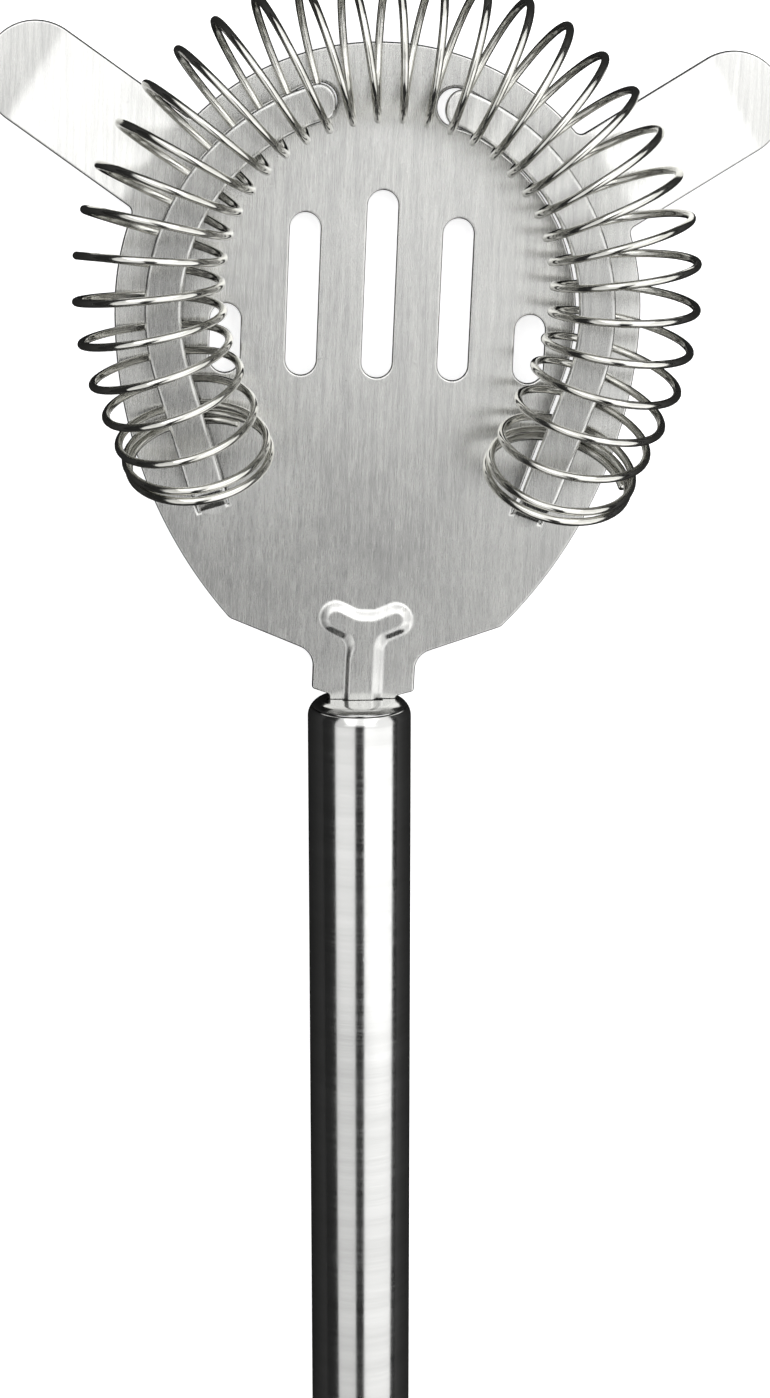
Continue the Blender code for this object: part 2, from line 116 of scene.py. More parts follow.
def add_piece(name, mesh, material, body, node):
    """Puts a mesh in the scene as the visible form of a solid, on the body that the solid belongs to."""
    piece = bpy.data.objects.new(name, mesh)
    bpy.context.scene.collection.objects.link(piece)
    mesh.materials.append(material)
    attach(piece, body)
    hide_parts(node)
    print(name, "has", len(mesh.polygons), "faces")


# %% [markdown]
# ## Nodes in a few words
#
# A material is a small graph. This helper adds a node, sets its values and links its inputs in one call,
# so a finish reads as a list of what it is made of.

# %% A helper for node graphs
def add_node(tree, kind, values=None, links=None, **settings):
    """One node: settings on the node, values on its inputs by name or number, links from other outputs."""
    node = tree.nodes.new(kind)
    for key, value in settings.items():
        setattr(node, key, value)
    for key, value in (values or {}).items():
        node.inputs[key].default_value = value
    for key, output in (links or {}).items():
        tree.links.new(output, node.inputs[key])
    return node


def new_group(name, inputs, outputs):
    """An empty node group with named number or vector inputs, and its two ends."""
    group = bpy.data.node_groups.new(name, "ShaderNodeTree")
    for title, kind, value in inputs:
        socket = group.interface.new_socket(title, in_out="INPUT", socket_type=kind)
        if value is not None:
            socket.default_value = value
    for title, kind in outputs:
        group.interface.new_socket(title, in_out="OUTPUT", socket_type=kind)
    return group, group.nodes.new("NodeGroupInput"), group.nodes.new("NodeGroupOutput")


# %% [markdown]
# ## Brush lines
#
# A sheet that goes through a belt sander comes out covered with fine scratches that all run one way. The
# group stretches noise along the brush: a fine layer gives the hairlines and a broad one the soft bands
# that a belt leaves. It puts out both, so each finish decides what they do to its colour, gloss and
# relief.

# %% The brush group
FLOAT = "NodeSocketFloat"
VECTOR = "NodeSocketVector"


def brush_lines_group():
    """Noise on coordinates that are scaled up across the brush and down along it."""
    group, start, end = new_group(
        "brush_lines",
        [("Vector", VECTOR, None), ("Hairlines", VECTOR, None), ("Bands", VECTOR, None)],
        [("Hairline", FLOAT), ("Band", FLOAT)],
    )
    for source, result, detail in (("Hairlines", "Hairline", 5.0), ("Bands", "Band", 2.0)):
        stretched = add_node(
            group, "ShaderNodeVectorMath", operation="MULTIPLY",
            links={0: start.outputs["Vector"], 1: start.outputs[source]},
        )
        noise = add_node(
            group, "ShaderNodeTexNoise",
            values={"Scale": 1.0, "Detail": detail, "Roughness": 0.6},
            links={"Vector": stretched.outputs[0]},
        )
        group.links.new(noise.outputs["Fac"], end.inputs[result])
    return group


BRUSH_LINES = brush_lines_group()

# %% [markdown]
# ## Marks of use
#
# Steel that has been washed and put away has faint cloudy smears, where water and fingers dulled it, and a
# few bright nicks. Both are the same on every piece, so they are one group with a scale of its own.

# %% The wear group
NICK_LIMITS = (0.74, 0.80)


def use_marks_group():
    """Clouds from broad noise, and nicks where a fine noise passes a high limit."""
    group, start, end = new_group(
        "use_marks",
        [("Vector", VECTOR, None), ("Cloud Scale", FLOAT, 60.0), ("Nick Scale", FLOAT, 900.0)],
        [("Cloud", FLOAT), ("Nick", FLOAT)],
    )
    cloud = add_node(
        group, "ShaderNodeTexNoise", values={"Detail": 3.0, "Roughness": 0.55},
        links={"Vector": start.outputs["Vector"], "Scale": start.outputs["Cloud Scale"]},
    )
    speck = add_node(
        group, "ShaderNodeTexNoise", values={"Detail": 1.0},
        links={"Vector": start.outputs["Vector"], "Scale": start.outputs["Nick Scale"]},
    )
    nick = add_node(
        group, "ShaderNodeMapRange",
        values={"From Min": NICK_LIMITS[0], "From Max": NICK_LIMITS[1]},
        links={"Value": speck.outputs["Fac"]},
    )
    group.links.new(cloud.outputs["Fac"], end.inputs["Cloud"])
    group.links.new(nick.outputs["Result"], end.inputs["Nick"])
    return group


USE_MARKS = use_marks_group()

# %% [markdown]
# ## Three steels
#
# The plate, the wire and the handle are all stainless steel, but each was finished in its own way. One
# function builds the graph: the brush lines and the marks of use vary the colour, the gloss and a very
# shallow relief. What is the same all over the surface is set straight on the shader.

# %% Steel finishes
BRUSH_MAP = "brush"
HAIRLINE_SHARE = 0.6
TONE_LIMITS = (0.55, 1.0)
CLOUD_SHARE = 0.5
DULL_LIMITS = (0.5, 1.0)


def steel(name, dark, light, gloss, hairlines, bands, relief, anisotropy=0.0, turn=0.0):
    """Polished metal whose colour goes from dark to light and whose roughness from gloss[0] to gloss[1]. The
    scales of hairlines and bands are per metre, the relief is in metres and the turn in radians."""
    material = bpy.data.materials.new(name)
    material.use_nodes = True
    tree = material.node_tree
    shader = tree.nodes["Principled BSDF"]
    shader.inputs["Metallic"].default_value = 1.0
    shader.inputs["Anisotropic"].default_value = anisotropy
    if anisotropy:
        grain = add_node(tree, "ShaderNodeTangent", direction_type="UV_MAP", uv_map=BRUSH_MAP)
        tree.links.new(grain.outputs[0], shader.inputs["Tangent"])
    place = add_node(tree, "ShaderNodeTexCoord")
    lined_up = add_node(
        tree, "ShaderNodeMapping", values={"Rotation": (0.0, 0.0, turn)},
        links={"Vector": place.outputs["Object"]},
    )
    brush = add_node(
        tree, "ShaderNodeGroup", node_tree=BRUSH_LINES,
        values={"Hairlines": hairlines, "Bands": bands}, links={"Vector": lined_up.outputs[0]},
    )
    marks = add_node(
        tree, "ShaderNodeGroup", node_tree=USE_MARKS, links={"Vector": place.outputs["Object"]},
    )
    tone = add_node(
        tree, "ShaderNodeMath", operation="MULTIPLY_ADD", values={1: HAIRLINE_SHARE},
        links={0: brush.outputs["Hairline"], 2: brush.outputs["Band"]},
    )
    colour = add_node(tree, "ShaderNodeValToRGB", links={"Fac": tone.outputs[0]})
    for element, position, tint in zip(colour.color_ramp.elements, TONE_LIMITS, (dark, light)):
        element.position = position
        element.color = (*tint, 1.0)
    dulled = add_node(
        tree, "ShaderNodeMath", operation="MULTIPLY_ADD", values={1: CLOUD_SHARE},
        links={0: marks.outputs["Cloud"], 2: brush.outputs["Hairline"]},
    )
    roughness = add_node(
        tree, "ShaderNodeMapRange",
        values={
            "From Min": DULL_LIMITS[0], "From Max": DULL_LIMITS[1], "To Min": gloss[0], "To Max": gloss[1],
        },
        links={"Value": dulled.outputs[0]},
    )
    height = add_node(
        tree, "ShaderNodeMath", operation="ADD",
        links={0: brush.outputs["Hairline"], 1: marks.outputs["Nick"]},
    )
    bump = add_node(
        tree, "ShaderNodeBump", values={"Strength": 1.0, "Distance": relief},
        links={"Height": height.outputs[0]},
    )
    tree.links.new(colour.outputs["Color"], shader.inputs["Base Color"])
    tree.links.new(roughness.outputs["Result"], shader.inputs["Roughness"])
    tree.links.new(bump.outputs["Normal"], shader.inputs["Normal"])
    return material


HANDLE_LEAN = -0.0447

plate_steel = steel(
    "brushed_plate_steel", dark=(0.56, 0.56, 0.55), light=(0.68, 0.68, 0.66), gloss=(0.20, 0.31),
    hairlines=(10000.0, 400.0, 400.0), bands=(1500.0, 60.0, 60.0), relief=0.000005, anisotropy=0.8,
)
wire_steel = steel(
    "bright_wire_steel", dark=(0.60, 0.595, 0.55), light=(0.72, 0.715, 0.68), gloss=(0.07, 0.20),
    hairlines=(900.0, 900.0, 900.0), bands=(90.0, 90.0, 90.0), relief=0.000004,
)
handle_steel = steel(
    "polished_handle_steel", dark=(0.58, 0.58, 0.57), light=(0.68, 0.68, 0.67), gloss=(0.10, 0.22),
    hairlines=(90.0, 4200.0, 90.0), bands=(16.0, 300.0, 16.0), relief=0.000003, turn=HANDLE_LEAN,
)
print("finishes:", plate_steel.name, wire_steel.name, handle_steel.name)

# %% [markdown]
# ## The spring
#
# The spring is one wire. Its turns are circles that are carried along a horseshoe, close together at both
# ends and open between. Towards its ends each turn leans over. A round profile swept along that line is
# the wire. Blender could bevel a curve, but a swept grid gives the cut ends a soft edge.

# %% The line that the wire follows
WIRE_RADIUS = 0.6
COIL_RADIUS = 10.57
COIL_MIDDLE_HEIGHT = 12.57
LOOP_RADIUS = 34.75
LOOP_CENTRE = (0.6, 4.35)
LOOP_END_ANGLE = math.radians(90 + 23.75)
LOOP_END_Y = -22.65
FIRST_TURN = -1.343
LAST_TURN = 33.97
CLOSED_TURNS = 1.64
CLOSED_BLEND_TURNS = 0.6
CLOSED_PITCH = 1.36
END_LEAN = math.radians(25.5)
LEAN_REACH = 36.9
LEAN_POWER = 1.43
END_TWIST = math.radians(15.5)
TWIST_REACH = 26.5
LOOP_SHIFT = 0.6
POINTS_PER_TURN = 56

arc_end_y = LOOP_CENTRE[1] + LOOP_RADIUS * math.cos(LOOP_END_ANGLE)
straight_end = (arc_end_y - LOOP_END_Y) / math.sin(LOOP_END_ANGLE)
half_loop = LOOP_RADIUS * LOOP_END_ANGLE + straight_end
print("horseshoe:", round(2 * half_loop, 1), "mm long,", round(LAST_TURN - FIRST_TURN, 1), "turns")


def smooth_step(share):
    """From 0 to 1 with a level start and a level end."""
    share = np.clip(share, 0, 1)
    return share * share * (3 - 2 * share)


def along_loop(turns):
    """Distance from the top of the horseshoe: the pitch is closed near both ends and open in between."""
    from_end = np.minimum(turns - FIRST_TURN, LAST_TURN - turns)
    openness = smooth_step((from_end - CLOSED_TURNS) / CLOSED_BLEND_TURNS)
    open_turns = np.concatenate([[0], np.cumsum((openness[1:] + openness[:-1]) / 2 * np.diff(turns))])
    closed_turns = turns - FIRST_TURN - open_turns
    open_pitch = (2 * half_loop - CLOSED_PITCH * closed_turns[-1]) / open_turns[-1]
    return CLOSED_PITCH * closed_turns + open_pitch * open_turns - half_loop + LOOP_SHIFT


def wire_line():
    """Middle line of the wire, and for each point the middle of its turn."""
    turns = np.linspace(FIRST_TURN, LAST_TURN, round((LAST_TURN - FIRST_TURN) * POINTS_PER_TURN) + 1)
    distance = along_loop(turns)
    angle = np.clip(distance / LOOP_RADIUS, -LOOP_END_ANGLE, LOOP_END_ANGLE)
    past_arc = (distance - angle * LOOP_RADIUS)[:, None]
    level = np.zeros_like(angle)
    outward = np.stack([np.sin(angle), np.cos(angle), level], axis=1)
    onward = np.stack([np.cos(angle), -np.sin(angle), level], axis=1)
    middle = outward * LOOP_RADIUS + onward * past_arc + [*LOOP_CENTRE, COIL_MIDDLE_HEIGHT]
    from_end = half_loop - np.abs(distance)
    facing = angle - np.sign(distance) * END_TWIST * np.clip(1 - from_end / TWIST_REACH, 0, 1)
    outward = np.stack([np.sin(facing), np.cos(facing), level], axis=1)
    onward = np.stack([np.cos(facing), -np.sin(facing), level], axis=1)
    lean = END_LEAN * np.clip(1 - from_end / LEAN_REACH, 0, 1) ** LEAN_POWER
    side = COIL_RADIUS * np.cos(2 * np.pi * turns)
    rise = COIL_RADIUS * np.sin(2 * np.pi * turns)
    slip = np.sign(distance) * np.tan(lean) * rise
    arm = outward * side[:, None] + onward * slip[:, None] + np.outer(rise, [0, 0, 1])
    return middle + arm, arm


# %% [markdown]
# ## From a line to a wire
#
# Drawn wire is round. A ring of points stands square to the line at each of its points, and a few smaller
# rings close the cut ends with a soft edge, as a wire cutter and a file leave them.

# %% Sweep the wire
WIRE_SIDES = 14
END_RINGS = np.radians([90, 62, 34, 12])
END_ROUND = 0.35


def unit(vectors):
    """Each vector divided by its length."""
    return vectors / np.linalg.norm(vectors, axis=-1, keepdims=True)


def swept_wire(line, arm):
    """A circle carried along a line. Its first axis points away from the turn's middle, its second is square
    to that and to the line. Extra rings shrink to a point at both ends and give them a soft edge."""
    along = unit(np.gradient(line, axis=0))
    first = unit(arm - np.sum(arm * along, axis=1, keepdims=True) * along)
    second = np.cross(along, first)
    reach = END_ROUND * WIRE_RADIUS
    shrink = (1 - END_ROUND) + END_ROUND * np.cos(END_RINGS)
    shrink[0] = 0
    order = np.concatenate([np.zeros(len(END_RINGS), int), np.arange(len(line)), np.full(len(END_RINGS), -1)])
    radius = WIRE_RADIUS * np.concatenate([shrink, np.ones(len(line)), shrink[::-1]])
    push = reach * np.concatenate([-np.sin(END_RINGS), np.zeros(len(line)), np.sin(END_RINGS)[::-1]])
    round_angle = np.linspace(0, 2 * np.pi, WIRE_SIDES, endpoint=False)
    cos, sin = np.cos(round_angle)[:, None], np.sin(round_angle)[:, None]
    ring = first[order, None] * cos + second[order, None] * sin
    core = line[order] + along[order] * push[:, None]
    points = core[:, None] + ring * radius[:, None, None]
    return on_table(points.reshape(-1, 3)), grid_faces(len(order), WIRE_SIDES)


wire_points, wire_faces = swept_wire(*wire_line())
add_piece(
    "spring_wire", mesh_from("spring_wire", wire_points, [wire_faces]), wire_steel, "spring", "coil_spring",
)

# %% [markdown]
# ## The outline of the stamping
#
# The disc, the ears, the neck and the tang are one blank of sheet steel. Its outline is straight runs,
# arcs and rounded corners, drawn for the right half and mirrored. Material always lies to the left of a
# loop, so the same code can later roll every edge, whether it is the rim of the plate or the wall of a
# slot.

# %% Arcs, corners and loops
EDGE_STEP = 0.45
LEAST_ARC_STEPS = 7


def arc(centre, radius, start, end):
    """Points at equal angles on a circle."""
    steps = max(LEAST_ARC_STEPS, math.ceil(abs(end - start) * radius / EDGE_STEP))
    angle = np.linspace(start, end, steps + 1)
    return np.asarray(centre) + radius * np.stack([np.cos(angle), np.sin(angle)], axis=1)


def corner(before, at, after, radius):
    """The arc that touches both sides of a corner."""
    before, at, after = (np.asarray(p, float) for p in (before, at, after))
    to_before, to_after = unit(before - at), unit(after - at)
    half = math.acos(np.clip(to_before @ to_after, -1, 1)) / 2
    centre = at + unit(to_before + to_after) * radius / math.sin(half)
    start = at + to_before * radius / math.tan(half) - centre
    end = at + to_after * radius / math.tan(half) - centre
    first = math.atan2(start[1], start[0])
    sweep = math.atan2(start[0] * end[1] - start[1] * end[0], start @ end)
    return arc(centre, radius, first, first + sweep)


def rounded_path(corners):
    """An open path through (point, radius) pairs. A radius of 0 keeps the point itself."""
    runs = []
    for i, (at, radius) in enumerate(corners):
        if radius:
            runs.append(corner(corners[i - 1][0], at, corners[i + 1][0], radius))
        else:
            runs.append(np.array([at], float))
    return np.concatenate(runs)


def evenly(loop):
    """A closed loop with points added on its long sides, so that no step is longer than EDGE_STEP."""
    onward = np.roll(loop, -1, axis=0)
    steps = np.maximum(1, np.ceil(np.linalg.norm(onward - loop, axis=1) / EDGE_STEP)).astype(int)
    side = np.repeat(np.arange(len(loop)), steps)
    share = (np.arange(len(side)) - np.repeat(np.cumsum(steps) - steps, steps)) / np.repeat(steps, steps)
    return loop[side] + (onward - loop)[side] * share[:, None]


# %% [markdown]
# ## The blank
#
# A blanking die cuts the whole outline in one stroke. The right half runs from the tang's end up the neck,
# out to the lower corner, along a wide arc to the disc, round the ear and up to the top.

# %% The blank's outline
DISC_RADIUS = 39.5
LOWER_CORNER = (20.9, -47.5)
LOWER_CORNER_RADIUS = 2.0
LOWER_SIDE_RADIUS = 70.0
NECK_HALF_WIDTH = 7.9
NECK_TOP = -52.4
NECK_FILLET = 3.2
SHOULDER_OUTER = -58.1
SHOULDER_INNER = -58.9
SHOULDER_OUTER_RADIUS = 0.55
SHOULDER_INNER_RADIUS = 0.6
TANG_HALF_WIDTH = 5.2
TANG_END = -88.0
TANG_CORNER_RADIUS = 1.5
EAR_ANGLE = math.radians(33)
EAR_HALF_WIDTH = 7.9
EAR_OFFSET = -0.85
EAR_ROUND_AT = 61.2
EAR_FILLET = 1.1
EAR_FILLET_ROOM = 1.6

ear_along = np.array([math.cos(EAR_ANGLE), math.sin(EAR_ANGLE)])
ear_across = np.array([-math.sin(EAR_ANGLE), math.cos(EAR_ANGLE)])


def lower_side():
    """The wide arc from the lower corner up to the disc, which it meets without a kink: its middle lies on
    the line from that meeting point through the disc's middle."""
    past_middle = LOWER_SIDE_RADIUS - DISC_RADIUS
    reach = math.hypot(*LOWER_CORNER)
    turn = math.acos((LOWER_SIDE_RADIUS ** 2 - past_middle ** 2 - reach ** 2) / (2 * past_middle * reach))
    meets_disc = math.atan2(LOWER_CORNER[1], LOWER_CORNER[0]) + turn
    middle = -past_middle * np.array([math.cos(meets_disc), math.sin(meets_disc)])
    at_corner = math.atan2(LOWER_CORNER[1] - middle[1], LOWER_CORNER[0] - middle[0])
    start = at_corner + LOWER_CORNER_RADIUS / LOWER_SIDE_RADIUS
    return arc(middle, LOWER_SIDE_RADIUS, start, meets_disc), meets_disc


def blank_outline():
    """Half the outline from the tang's end to the top of the disc, then its mirror image."""
    ear_edges = EAR_OFFSET + np.array([-1, 1]) * EAR_HALF_WIDTH
    ear_root = np.sqrt(DISC_RADIUS ** 2 - ear_edges ** 2)
    root_angle = EAR_ANGLE + np.arcsin(ear_edges / DISC_RADIUS)
    side, meets_disc = lower_side()
    keep_off = EAR_FILLET_ROOM * EAR_FILLET / DISC_RADIUS
    rim_low = arc((0, 0), DISC_RADIUS, meets_disc, root_angle[0] - keep_off)
    rim_high = arc((0, 0), DISC_RADIUS, root_angle[1] + keep_off, math.pi / 2)
    roots = [ear_along * ear_root[i] + ear_across * ear_edges[i] for i in (0, 1)]
    shoulders = [ear_along * EAR_ROUND_AT + ear_across * ear_edges[i] for i in (0, 1)]
    neck = rounded_path([
        ((0, TANG_END), 0),
        ((TANG_HALF_WIDTH, TANG_END), TANG_CORNER_RADIUS),
        ((TANG_HALF_WIDTH, SHOULDER_INNER), SHOULDER_INNER_RADIUS),
        ((NECK_HALF_WIDTH, SHOULDER_OUTER), SHOULDER_OUTER_RADIUS),
        ((NECK_HALF_WIDTH, NECK_TOP), NECK_FILLET),
        (LOWER_CORNER, LOWER_CORNER_RADIUS),
        (tuple(side[0]), 0),
    ])
    ear_end = arc((EAR_ROUND_AT, EAR_OFFSET), EAR_HALF_WIDTH, -math.pi / 2, math.pi / 2)
    half = np.concatenate([
        neck,
        side[1:],
        rim_low[1:],
        corner(rim_low[-1], roots[0], shoulders[0], EAR_FILLET),
        ear_end[:, :1] * ear_along + ear_end[:, 1:] * ear_across,
        corner(shoulders[1], roots[1], rim_high[0], EAR_FILLET),
        rim_high,
    ])
    mirrored = half[1:-1][::-1] * [-1, 1]
    return evenly(np.concatenate([half, mirrored]))


outline = blank_outline()
print("outline:", len(outline), "points,", outline.min(0).round(2), "to", outline.max(0).round(2))

# %% [markdown]
# ## Slots and tongues
#
# Five slots let the drink through. Two long tongues are slit free of the plate on three sides and bent up,
# and the spring is threaded on them. On the flat blank a tongue is the strip inside a hairpin-shaped slit,
# so one loop runs round the slit: out along the plate's side and back along the tongue's side.

# %% Loops of the holes
SLOT_HALF_WIDTH = 2.3
SLOT_PITCH = 11.45
SLOT_BOTTOM = -9.9
SLOT_TOPS = {0: 18.0, 1: 14.3, -1: 14.3, 2: 0.4, -2: 0.4}
TONGUE_HALF_WIDTH = 2.25
TONGUE_SPREAD = 0.21
SPREAD_FROM = 2.0
SPREAD_OVER = 3.0
TONGUE_RADIUS = 32.1
TONGUE_SLOPE = math.radians(18)
TONGUE_STRAIGHT = 21.7
TONGUE_TIP_FROM_TOP = math.radians(18.4)
SLIT = 0.14
TIP_SLIT = 0.5
TIP_SLIT_REACH = 5.0
TIP_POINTS = 25
TONGUE_LENGTH = TONGUE_STRAIGHT + TONGUE_RADIUS * (math.pi / 2 - TONGUE_TIP_FROM_TOP + TONGUE_SLOPE)


def slot_loop(count):
    """Two half circles, run clockwise so that the material lies on the left."""
    x = count * SLOT_PITCH
    lower = arc((x, SLOT_BOTTOM + SLOT_HALF_WIDTH), SLOT_HALF_WIDTH, 0, -math.pi)
    upper = arc((x, SLOT_TOPS[count] - SLOT_HALF_WIDTH), SLOT_HALF_WIDTH, math.pi, 0)
    return evenly(np.concatenate([lower, upper]))


def on_blank(station, offset):
    """Right tongue: distance from its root and offset outwards, to the blank: a straight, then an arc."""
    past = np.asarray(station, float) - TONGUE_STRAIGHT
    angle = np.maximum(past, 0) / TONGUE_RADIUS - TONGUE_SLOPE
    before = np.minimum(past, 0)
    radius = TONGUE_RADIUS + offset
    x = radius * np.cos(angle) - before * np.sin(angle)
    y = radius * np.sin(angle) + before * np.cos(angle)
    return np.stack([x, y], axis=-1)


def from_blank(plan):
    """The inverse of on_blank, for points on either side of the blank."""
    x, y = np.abs(plan[:, 0]), plan[:, 1]
    cos, sin = math.cos(TONGUE_SLOPE), math.sin(TONGUE_SLOPE)
    before = np.minimum(x * sin + y * cos, 0)
    on_straight = before < 0
    angle = np.arctan2(y, x) + TONGUE_SLOPE
    station = TONGUE_STRAIGHT + np.where(on_straight, before, TONGUE_RADIUS * angle)
    offset = np.where(on_straight, x * cos - y * sin, np.hypot(x, y)) - TONGUE_RADIUS
    return station, offset


def slit_loop(side):
    """Round the hairpin: the plate's side from the root round the tip and back, then the tongue's side."""
    run = np.arange(0, TONGUE_LENGTH, EDGE_STEP)
    turn = np.linspace(math.pi / 2, -math.pi / 2, TIP_POINTS)
    plate_half = TONGUE_HALF_WIDTH + SLIT + (TIP_SLIT - SLIT) * smooth_step(
        1 - (TONGUE_LENGTH - run) / TIP_SLIT_REACH
    )
    tip_half = TONGUE_HALF_WIDTH + TIP_SLIT
    plate_side = np.concatenate([
        on_blank(run, plate_half),
        on_blank(TONGUE_LENGTH + tip_half * np.cos(turn), tip_half * np.sin(turn)),
        on_blank(run, -plate_half)[::-1],
    ])
    tongue_side = np.concatenate([
        on_blank(run, TONGUE_HALF_WIDTH),
        on_blank(TONGUE_LENGTH + TONGUE_HALF_WIDTH * np.cos(turn), TONGUE_HALF_WIDTH * np.sin(turn)),
        on_blank(run, -TONGUE_HALF_WIDTH)[::-1],
    ])
    loop = np.concatenate([plate_side, tongue_side[::-1]])
    if side > 0:
        return evenly(loop[::-1])
    return evenly(loop * [-1, 1])


def turns_left(loop):
    """True where a loop runs anticlockwise, from the sign of its area."""
    onward = np.roll(loop, -1, axis=0)
    return np.sum(loop[:, 0] * onward[:, 1] - loop[:, 1] * onward[:, 0]) > 0


holes = [slot_loop(count) for count in SLOT_TOPS] + [slit_loop(1), slit_loop(-1)]
holes = [loop[::-1] if turns_left(loop) else loop for loop in holes]
loops = [outline] + holes
print("holes:", len(holes), "with", sum(len(loop) for loop in holes), "points")

# %% [markdown]
# ## From a flat blank to the stamping
#
# The press does four things to the blank: it bends the tongues up, pushes a Y-shaped rib into the neck,
# sets the ears down in two shallow folds, and bends the neck. Each is a function of where a point lies on
# the blank and how high in the sheet, so points of both faces and of every edge go through the same
# formulas.

# %% Bends along a line
SHEET = 1.0
TABLE_STEP = 0.05


def bent_line(length, bends):
    """A line that turns smoothly: (where, width, angle) for each bend. Gives tables of distance, run, rise
    and angle, by adding up the cosine and the sine of the angle along the line."""
    distance = np.arange(0, length, TABLE_STEP)
    angle = sum(turn * smooth_step((distance - at) / width + 0.5) for at, width, turn in bends)
    run = np.concatenate([[0], np.cumsum(np.cos(angle[:-1])) * TABLE_STEP])
    rise = np.concatenate([[0], np.cumsum(np.sin(angle[:-1])) * TABLE_STEP])
    return distance, run, rise, angle


def bent(table, distance, height):
    """Where a point ends up along a bent line: its run and its height, measured square to the bent sheet."""
    run, rise, angle = (np.interp(distance, table[0], column) for column in table[1:])
    above = height - SHEET / 2
    return run - np.sin(angle) * above, rise + SHEET / 2 + np.cos(angle) * above


EAR_FOLD = math.radians(6)
EAR_ROOT_FOLD_AT = 40.6
EAR_TIP_FOLD_AT = 61.0
EAR_FOLD_WIDTH = 2.6
NECK_FOLD_AT = 55.6
NECK_FOLD_WIDTH = 5.0
EAR_LINE_LENGTH = 75
NECK_LINE_LENGTH = 95
EAR_LINE = bent_line(EAR_LINE_LENGTH, [
    (EAR_ROOT_FOLD_AT, EAR_FOLD_WIDTH, -EAR_FOLD),
    (EAR_TIP_FOLD_AT, EAR_FOLD_WIDTH, EAR_FOLD),
])
NECK_LINE = bent_line(NECK_LINE_LENGTH, [(NECK_FOLD_AT, NECK_FOLD_WIDTH, -lay_angle)])
print("ears are set down by", round(EAR_LINE[2].min(), 2), "mm")

# %% [markdown]
# ## Raised tongues
#
# Each tongue leaves the plate over a short steep ramp and then climbs slowly to its tip, so that the
# spring can be pushed over it. Adding up the slope along the tongue gives its height.

# %% The tongues' lift
RAMP = 3.6
RAMP_FOOT = 1.1
RAMP_TOP = 1.3
RAMP_LIFT = 4.8
TIP_LIFT = 10.1


def tongue_tables():
    """Distance, lift and angle along a tongue: a steep ramp with a round foot and top, then a slow climb."""
    distance = np.arange(0, TONGUE_LENGTH + TONGUE_HALF_WIDTH + 1, TABLE_STEP)
    climb = (TIP_LIFT - RAMP_LIFT) / (TONGUE_LENGTH - RAMP)
    foot = np.clip(distance / RAMP_FOOT, 0, 1)
    top = np.clip((RAMP - distance) / RAMP_TOP, 0, 1)
    steep = np.minimum(foot, top)
    steep *= RAMP_LIFT / (steep.sum() * TABLE_STEP)
    slope = np.maximum(steep, climb * (distance > RAMP - RAMP_TOP))
    lift = np.concatenate([[0], np.cumsum(slope[:-1]) * TABLE_STEP])
    return distance, lift, np.arctan(slope)


TONGUE_TABLES = tongue_tables()


def on_tongue(plan):
    """True for points that lie inside the middle of the slit, on the tongue's side."""
    station, offset = from_blank(plan)
    reach = TONGUE_HALF_WIDTH + SLIT / 2
    along_side = (station > 0) & (station <= TONGUE_LENGTH) & (np.abs(offset) < reach)
    at_tip = (station > TONGUE_LENGTH) & (np.hypot(station - TONGUE_LENGTH, offset) < reach)
    return along_side | at_tip


# %% [markdown]
# ## The rib in the neck
#
# A thin sheet would bend where the plate meets the handle. A Y-shaped rib, pressed up from behind,
# stiffens it. Its height depends only on the distance to three straight runs, which keeps its corners
# round.

# %% The rib
RIB_HEIGHT = 0.75
RIB_WALL = 1.35
RIB_STEM_LEFT_WALL = 0.6
RIB_ROUNDING = 1.3
STEM_LEFT_BLEND = 2.0
STEM_TOP = -50.5
STEM_TOP_BLEND = 3.0
RIB_FORK = np.array([0.0, -48.9])
RIB_ARM_END = np.array([4.6, -46.8])
RIB_END = np.array([0.0, -67.2])
RIB_ARM_HALF_WIDTH = 2.5
RIB_STEM_HALF_WIDTH = 2.8
RIB_BLEND = 1.3


def from_run(plan, start, end):
    """Distance to a straight run."""
    share = np.clip((plan - start) @ (end - start) / np.sum((end - start) ** 2), 0, 1)
    return np.linalg.norm(plan - start - share[:, None] * (end - start), axis=1)


def soft_least(a, b, blend):
    """The smaller of two distances, with the crease between them filled."""
    near = np.maximum(blend - np.abs(a - b), 0) / blend
    return np.minimum(a, b) - near * near * blend / 4


def rib_lift(plan):
    """The rib stands on the soft union of three runs, two arms and a stem. Its wall is steep at the foot and
    rounds over into the flat top."""
    right = from_run(plan, RIB_FORK, RIB_ARM_END) - RIB_ARM_HALF_WIDTH
    left = from_run(plan, RIB_FORK, RIB_ARM_END * [-1, 1]) - RIB_ARM_HALF_WIDTH
    stem = from_run(plan, RIB_FORK, RIB_END) - RIB_STEM_HALF_WIDTH
    outside = soft_least(soft_least(right, left, RIB_BLEND), stem, RIB_BLEND)
    on_stem_left = smooth_step(-plan[:, 0] / STEM_LEFT_BLEND)
    on_stem_left *= smooth_step((STEM_TOP - plan[:, 1]) / STEM_TOP_BLEND)
    wall = RIB_WALL + (RIB_STEM_LEFT_WALL - RIB_WALL) * on_stem_left
    return RIB_HEIGHT * (1 - (1 - np.clip(-outside / wall, 0, 1)) ** RIB_ROUNDING)


# %% [markdown]
# ## One press stroke
#
# All the bends now work on the same points, one after the other: rib, tongues, ears and neck.

# %% All the bends together
FORWARD_STEP = 0.01


